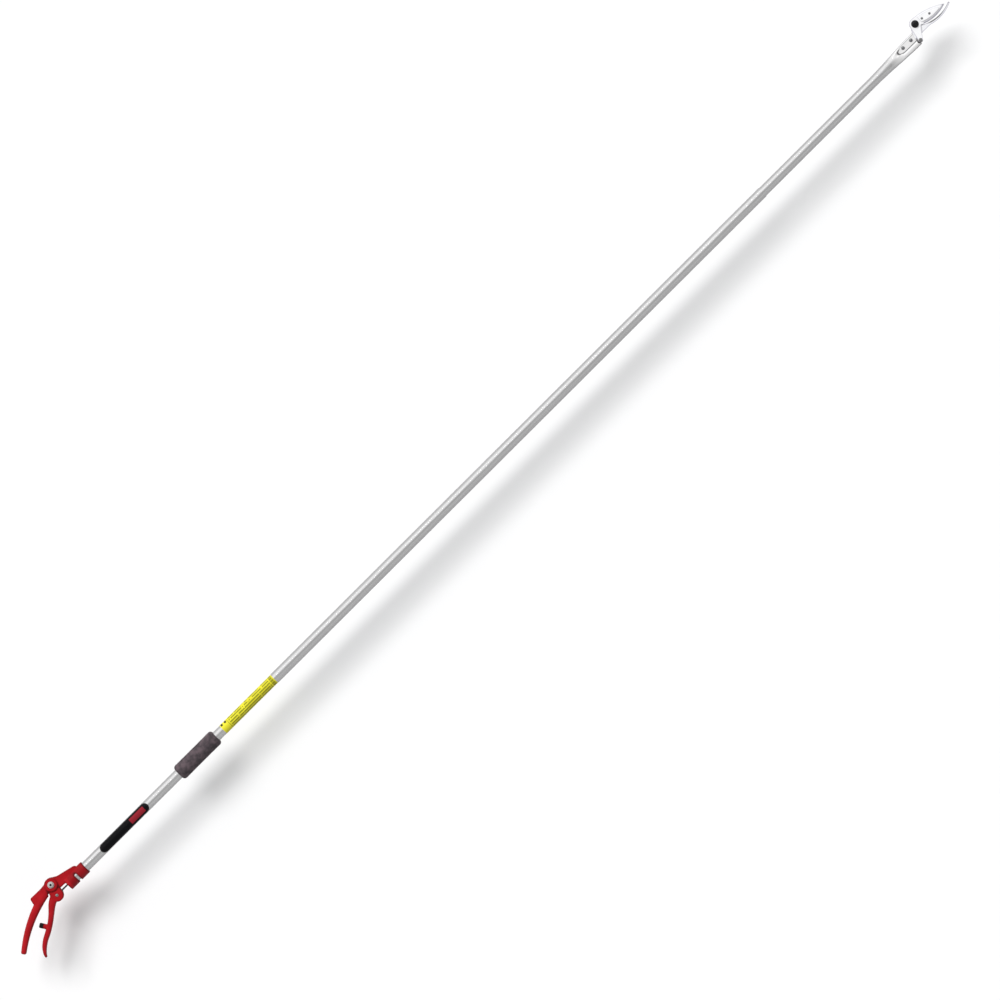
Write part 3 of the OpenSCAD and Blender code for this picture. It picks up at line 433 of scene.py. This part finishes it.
label_low, label_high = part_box("name_label")
label_len = label_high.x - label_low.x
label_mid = (label_low.x + label_high.x) / 2
label_r = (label_high.y - label_low.y) / 2
border_in, border_wide = 0.0016, 0.0005
field_start, field_end, field_half = 0.0195, 0.0625, 0.0066
label_black = (0.005, 0.005, 0.006)
label_finish, label_tree, label_shader = new_finish("black_label_film", label_black, 0.0, 0.22)
label_shader.inputs["Specular IOR Level"].default_value = 0.1
label_x, label_y = piece_axes(label_tree)[:2]
along = arithmetic(label_tree, "SUBTRACT", label_x, label_mid)
past_straight = arithmetic(label_tree, "SUBTRACT", arithmetic(label_tree, "ABSOLUTE", along),
                           label_len / 2 - label_r)
past_straight = arithmetic(label_tree, "MAXIMUM", past_straight, 0.0)
from_spine = arithmetic(label_tree, "ADD", arithmetic(label_tree, "POWER", past_straight, 2.0),
                        arithmetic(label_tree, "POWER", label_y, 2.0))
from_spine = arithmetic(label_tree, "SQRT", from_spine)
border = within(label_tree, from_spine, label_r - border_in - border_wide, label_r - border_in)
red_field = arithmetic(label_tree, "MULTIPLY", within(label_tree, along, field_start, field_end),
                       within(label_tree, label_y, -field_half, field_half))
label_print = over(label_tree, border, label_black, (0.05, 0.046, 0.048))
label_print = over(label_tree, red_field, label_print, (0.26, 0.016, 0.026))
coloured(label_tree, label_shader, label_print)
uneven_gloss(label_tree, label_shader, grain(label_tree, 120), 0.16, 0.3)
dents(label_tree, label_shader, grain(label_tree, 60), 0.00008, 0.3)
finish_nodes(label_finish, "name_label")


# ---- Yellow band ----
# A yellow film wrapped round the tube beside the main tube, printed with
# broken ruled lines, two dark squares and a darker end block.

band_low, band_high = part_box("yellow_band")
band_r = (band_high.y - band_low.y) / 2
line_pitch = 0.0061
line_shift = 0.1
lines_start, lines_end = 0.024, 0.150
rule_start, rule_end = 0.0200, 0.0215
block_start, block_end = 0.1525, 0.1605
square_low, square_high = 0.0075, 0.0150
line_brown = (0.27, 0.26, 0.010)
band_finish, band_tree, band_shader = new_finish("yellow_film", (0.80, 0.76, 0.04), 0.0, 0.38)
band_shader.inputs["Specular IOR Level"].default_value = 0.3
band_x, band_y, band_z = piece_axes(band_tree)
band_along = arithmetic(band_tree, "SUBTRACT", band_x, band_low.x)
round_tube = arithmetic(band_tree, "MULTIPLY", arithmetic(band_tree, "ARCTAN2", band_y, band_z), band_r)
line_phase = arithmetic(band_tree, "MULTIPLY", arithmetic(band_tree, "ADD", round_tube, line_shift),
                        1 / line_pitch)
line_phase = arithmetic(band_tree, "FRACT", line_phase)
broken = arithmetic(band_tree, "GREATER_THAN", grain(band_tree, 1.0, 1, (120, 60, 60)), 0.37)
ruled = arithmetic(band_tree, "MULTIPLY", within(band_tree, line_phase, 0.22, 0.74),
                   within(band_tree, band_along, lines_start, lines_end))
ruled = arithmetic(band_tree, "MULTIPLY", ruled, broken)
cross_rule = within(band_tree, band_along, rule_start, rule_end)
end_block = arithmetic(band_tree, "MULTIPLY", within(band_tree, band_along, block_start, block_end),
                       within(band_tree, line_phase, 0.10, 0.90))
squares = arithmetic(band_tree, "ADD", within(band_tree, band_along, 0.0020, 0.0075),
                     within(band_tree, band_along, 0.0125, 0.0180))
squares = arithmetic(band_tree, "MULTIPLY", squares, within(band_tree, round_tube, square_low, square_high))
band_print = two_tone(band_tree, grain(band_tree, 30), 0.3, 0.7, (0.66, 0.60, 0.022), (0.80, 0.75, 0.040))
band_print = over(band_tree, ruled, band_print, line_brown)
band_print = over(band_tree, cross_rule, band_print, (0.36, 0.34, 0.015))
band_print = over(band_tree, end_block, band_print, line_brown)
band_print = over(band_tree, squares, band_print, (0.03, 0.03, 0.015))
coloured(band_tree, band_shader, band_print)
dents(band_tree, band_shader, grain(band_tree, 90), 0.00008, 0.3)
finish_nodes(band_finish, "yellow_band")


# ---- Lever pivot ----
# A zinc-plated pan-head bolt through a bronze bush, with a washer on each
# side and a lock nut underneath whose nylon ring stops it working loose.

def off_axis(tree, x, y, centre):
    """Distance from an upright axis."""
    out = [arithmetic(tree, "POWER", arithmetic(tree, "SUBTRACT", axis, middle), 2.0)
           for axis, middle in zip((x, y), centre)]
    return arithmetic(tree, "SQRT", arithmetic(tree, "ADD", *out))


def lock_nut_finish(name, metal, nylon, nylon_below):
    """Metal with a nylon ring below a height on the nut."""
    finish, tree, shader = new_finish(name, metal, 1.0, 0.32)
    ring = arithmetic(tree, "LESS_THAN", piece_axes(tree)[2], nylon_below)
    worn_metal = tuple(0.8 * part for part in metal)
    tone = two_tone(tree, grain(tree, 280), 0.3, 0.7, worn_metal, metal)
    coloured(tree, shader, over(tree, ring, tone, nylon))
    tree.links.new(rises(tree, ring, 0.0, 1.0, 1.0, 0.0), shader.inputs["Metallic"])
    return finish


pivot_low, pivot_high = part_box("pivot_nut")
pivot_at = ((pivot_low.x + pivot_high.x) / 2, (pivot_low.y + pivot_high.y) / 2)
bolt_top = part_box("pivot_bolt")[1].z
socket_r = 0.0031
zinc = (0.70, 0.70, 0.69)
zinc_finish, zinc_tree, zinc_shader = new_finish("zinc_plate", zinc, 0.5, 0.35)
zinc_tone = two_tone(zinc_tree, grain(zinc_tree, 260), 0.3, 0.7, (0.55, 0.55, 0.53), (0.76, 0.76, 0.75))
coloured(zinc_tree, zinc_shader, zinc_tone)
uneven_gloss(zinc_tree, zinc_shader, grain(zinc_tree, 180), 0.24, 0.42)
finish_nodes(zinc_finish, "pivot_washers")

bolt_finish, bolt_tree, bolt_shader = new_finish("plated_bolt", zinc, 0.5, 0.35)
bolt_x, bolt_y, bolt_z = piece_axes(bolt_tree)
# Painted shade: the socket recess in the bolt head is painted near black.
in_socket = arithmetic(bolt_tree, "LESS_THAN", off_axis(bolt_tree, bolt_x, bolt_y, pivot_at), socket_r)
socket_painted_shade = arithmetic(bolt_tree, "MULTIPLY", in_socket,
                         arithmetic(bolt_tree, "LESS_THAN", bolt_z, bolt_top - 0.00015))
bolt_tone = two_tone(bolt_tree, grain(bolt_tree, 300), 0.3, 0.7, (0.58, 0.58, 0.56), (0.78, 0.78, 0.77))
coloured(bolt_tree, bolt_shader, over(bolt_tree, socket_painted_shade, bolt_tone, (0.02, 0.02, 0.022)))
uneven_gloss(bolt_tree, bolt_shader, grain(bolt_tree, 180), 0.25, 0.42)
half_pitch = 0.0005
thread_turns = arithmetic(bolt_tree, "PINGPONG", bolt_z, half_pitch)
thread_turns = arithmetic(bolt_tree, "MULTIPLY", thread_turns, 1 / half_pitch)
past_nut = arithmetic(bolt_tree, "LESS_THAN", bolt_z, pivot_low.z + 0.0002)
dents(bolt_tree, bolt_shader, arithmetic(bolt_tree, "MULTIPLY", past_nut, thread_turns), 0.0004, 1.0)
finish_nodes(bolt_finish, "pivot_bolt")

nylon_part = 0.24 * (pivot_high.z - pivot_low.z)
finish_nodes(lock_nut_finish("plated_lock_nut", (0.72, 0.72, 0.71), (0.62, 0.64, 0.68),
                             pivot_low.z + nylon_part), "pivot_nut")
bronze_finish, bronze_tree, bronze_shader = new_finish("sintered_bronze", (0.55, 0.36, 0.14), 1.0, 0.45)
bronze_tone = two_tone(bronze_tree, grain(bronze_tree, 500), 0.35, 0.65,
                       (0.42, 0.26, 0.10), (0.60, 0.40, 0.17))
coloured(bronze_tree, bronze_shader, bronze_tone)
finish_nodes(bronze_finish, "pivot_bush")


# ---- Bumper ----
# A moulded black rubber stud, pressed on to the lever's boss, that meets the
# rear grip at the end of the squeeze.

rubber_finish, rubber_tree, rubber_shader = new_finish("black_rubber", (0.010, 0.010, 0.010), 0.0, 0.6)
rubber_shader.inputs["Specular IOR Level"].default_value = 0.2
rubber_tone = two_tone(rubber_tree, grain(rubber_tree, 240), 0.3, 0.7,
                       (0.005, 0.005, 0.005), (0.016, 0.015, 0.015))
coloured(rubber_tree, rubber_shader, rubber_tone)
dents(rubber_tree, rubber_shader, grain(rubber_tree, 1400, 2), 0.00008, 0.5)
finish_nodes(rubber_finish, "lever_bumper")


# ---- Pins, rod and spring ----
# Plain turned pins with spring clips, a coiled return spring with its collar
# and nylon seat, and a drawn steel pull rod that is darkened with oil and
# runs in dense foam guides.

steel_finish, steel_tree, steel_shader = new_finish("turned_steel", (0.50, 0.50, 0.50), 1.0, 0.36)
steel_tone = two_tone(steel_tree, grain(steel_tree, 400), 0.3, 0.7, (0.34, 0.34, 0.33), (0.56, 0.56, 0.55))
coloured(steel_tree, steel_shader, steel_tone)
uneven_gloss(steel_tree, steel_shader, grain(steel_tree, 150), 0.28, 0.48)
finish_nodes(steel_finish, "rod_pin", "rod_pin_clip", "tang_pin", "tang_pin_clip", "return_spring",
             "spring_collar", "rod_coupler")

rod_finish, rod_tree, rod_shader = new_finish("oiled_rod", (0.16, 0.155, 0.15), 1.0, 0.4)
rod_streaks = grain(rod_tree, 1.0, 4, (30, 900, 900))
rod_tone = two_tone(rod_tree, rod_streaks, 0.3, 0.7, (0.10, 0.095, 0.09), (0.24, 0.235, 0.23))
coloured(rod_tree, rod_shader, rod_tone)
dents(rod_tree, rod_shader, rod_streaks, 0.00004, 0.4)
finish_nodes(rod_finish, "pull_rod", "handle_rod_eye", "head_link")

guide_finish, guide_tree, guide_shader = new_finish("dense_guide_foam", (0.022, 0.022, 0.024), 0.0, 0.9)
guide_tone = two_tone(guide_tree, grain(guide_tree, 160), 0.3, 0.7,
                      (0.014, 0.014, 0.015), (0.034, 0.034, 0.036))
coloured(guide_tree, guide_shader, guide_tone)
dents(guide_tree, guide_shader, grain(guide_tree, 700), 0.0005, 0.7)
finish_nodes(guide_finish, "rod_guides")

nylon_finish, nylon_tree, nylon_shader = new_finish("moulded_nylon", (0.03, 0.03, 0.033), 0.0, 0.5)
nylon_tone = two_tone(nylon_tree, grain(nylon_tree, 120), 0.3, 0.7,
                      (0.022, 0.022, 0.024), (0.042, 0.042, 0.045))
coloured(nylon_tree, nylon_shader, nylon_tone)
dents(nylon_tree, nylon_shader, grain(nylon_tree, 900), 0.00005, 0.4)
finish_nodes(nylon_finish, "spring_seat")


# ---- Cutting head ----
# A stamped hook plate riveted into the pressed tube end, a ground blade with
# its holding plate, all bright plated with painted shade at their edges, and black
# bolts with painted highlights at theirs. A painted shade band runs along the hook's curved edge.

hook_centre, hook_r = (1.3475, 0.0898), 0.0898
shade_line_wide = 0.0016
hook_finish, hook_tree, hook_shader = new_finish("plated_hook_plate", (0.92, 0.92, 0.94), 0.1, 0.42)
hook_x, hook_y = piece_axes(hook_tree)[:2]
hook_out = off_axis(hook_tree, hook_x, hook_y, hook_centre)
# Painted shade: a dark band is painted along the hook's curved edge.
shade_line_along = arithmetic(hook_tree, "MULTIPLY", rises(hook_tree, hook_x, 1.312, 1.322, 0.0, 1.0),
                         rises(hook_tree, hook_x, 1.346, 1.366, 1.0, 0.25))
hook_shade_line = arithmetic(hook_tree, "MULTIPLY", shade_line_along,
                   rises(hook_tree, hook_out, hook_r, hook_r + shade_line_wide, 1.0, 0.0))
hook_tone = two_tone(hook_tree, grain(hook_tree, 90), 0.3, 0.7, (0.89, 0.89, 0.92), (0.97, 0.97, 0.98))
# Painted shade: the hook plate's edges are painted lavender grey.
hook_tone = over(hook_tree, toward_edges(hook_tree, 0.0028), hook_tone, (0.36, 0.34, 0.42))
hook_tone = over(hook_tree, hook_shade_line, hook_tone, (0.10, 0.10, 0.11))
coloured(hook_tree, hook_shader, hook_tone)
uneven_gloss(hook_tree, hook_shader, grain(hook_tree, 200), 0.34, 0.5)
dents(hook_tree, hook_shader, grain(hook_tree, 900, 2), 0.00006, 0.4)
finish_nodes(hook_finish, "head_bracket")

blade_finish, blade_tree, blade_shader = new_finish("ground_blade", (0.95, 0.95, 0.96), 0.1, 0.36)
grind = grain(blade_tree, 1.0, 3, (1400, 60, 60))
blade_tone = two_tone(blade_tree, grind, 0.3, 0.7, (0.93, 0.93, 0.95), (0.99, 0.99, 0.99))
# Painted shade: the blade's edges are painted lavender grey.
blade_tone = over(blade_tree, toward_edges(blade_tree, 0.0022), blade_tone, (0.50, 0.49, 0.56))
coloured(blade_tree, blade_shader, blade_tone)
uneven_gloss(blade_tree, blade_shader, grind, 0.28, 0.46)
dents(blade_tree, blade_shader, grind, 0.00005, 0.5)
finish_nodes(blade_finish, "cutting_blade")

hold_finish, hold_tree, hold_shader = new_finish("stamped_hold_plate", (0.95, 0.95, 0.96), 0.1, 0.45)
hold_tone = two_tone(hold_tree, grain(hold_tree, 120), 0.3, 0.7, (0.92, 0.92, 0.94), (0.98, 0.98, 0.98))
# Painted shade: the hold plate's edges are painted lavender grey.
hold_tone = over(hold_tree, toward_edges(hold_tree, 0.0009), hold_tone, (0.42, 0.41, 0.47))
coloured(hold_tree, hold_shader, hold_tone)
dents(hold_tree, hold_shader, grain(hold_tree, 900, 2), 0.00006, 0.4)
finish_nodes(hold_finish, "hold_plate")

rivet_finish, rivet_tree, rivet_shader = new_finish("set_rivet", (0.42, 0.42, 0.43), 1.0, 0.42)
rivet_tone = two_tone(rivet_tree, grain(rivet_tree, 350), 0.3, 0.7, (0.26, 0.26, 0.27), (0.48, 0.48, 0.49))
coloured(rivet_tree, rivet_shader, rivet_tone)
finish_nodes(rivet_finish, "bracket_rivets", "hold_rivets", "head_washer")

black_finish, black_tree, black_shader = new_finish("black_oxide", (0.014, 0.014, 0.016), 0.5, 0.3)
black_tone = two_tone(black_tree, grain(black_tree, 300), 0.3, 0.7,
                      (0.006, 0.006, 0.007), (0.022, 0.022, 0.025))
# Painted highlight: the edges of the black bolt and screw are painted a lighter grey.
black_tone = over(black_tree, toward_edges(black_tree, 0.0008), black_tone, (0.09, 0.09, 0.095))
coloured(black_tree, black_shader, black_tone)
uneven_gloss(black_tree, black_shader, grain(black_tree, 180), 0.22, 0.4)
finish_nodes(black_finish, "head_bolt", "socket_screw")
finish_nodes(lock_nut_finish("black_lock_nut", (0.03, 0.03, 0.033), (0.10, 0.10, 0.11),
                             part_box("head_nut")[0].z + nylon_part), "head_nut")
